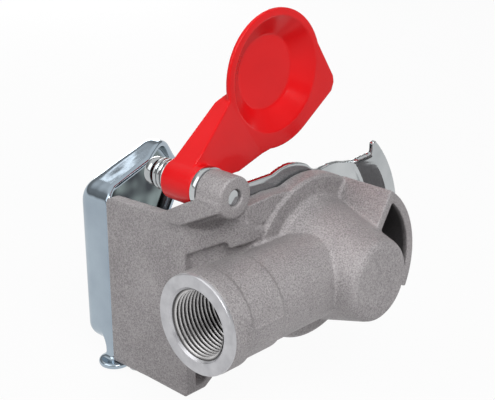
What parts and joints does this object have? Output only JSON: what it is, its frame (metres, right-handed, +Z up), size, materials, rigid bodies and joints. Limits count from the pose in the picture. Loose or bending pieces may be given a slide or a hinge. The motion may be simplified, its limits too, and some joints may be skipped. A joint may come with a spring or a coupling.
{
  "type": "gladhand air brake coupler",
  "caption": "Cast palm-type air brake coupling head with a threaded side port, steel claw and guide plates, a rubber seal ring and a hinged red dust lid.",
  "frame": {"origin": "centre of the seal face, at the mouth of the seal ring", "axes": "+X along the seal axis towards the closed end of the cup, -Y the way the supply port faces, +Z up"},
  "size_m": [0.1006, 0.1066, 0.1274],
  "materials": {
    "cast": "matte, as cast",
    "zinc": "bright zinc plated",
    "rubber": "matte",
    "red_plastic": "glossy"
  },
  "bodies": {
    "head": {"body": "cast", "seal_ring": "rubber", "guide_plate": "zinc", "guide_rivets": "zinc", "claw_plate": "zinc", "claw_rivets": "zinc", "hinge_pin": "zinc", "thrust_washer": "zinc", "lid_spring": "zinc"},
    "lid": {"lid": "red_plastic"}
  },
  "joints": [
    {"name": "lid_hinge", "type": "hinge", "parent": "head", "child": "lid", "pos_m": [0, -0.0365, 0.0308], "axis": [1, 0, 0], "range_deg": [-75, 10]}
  ]
}
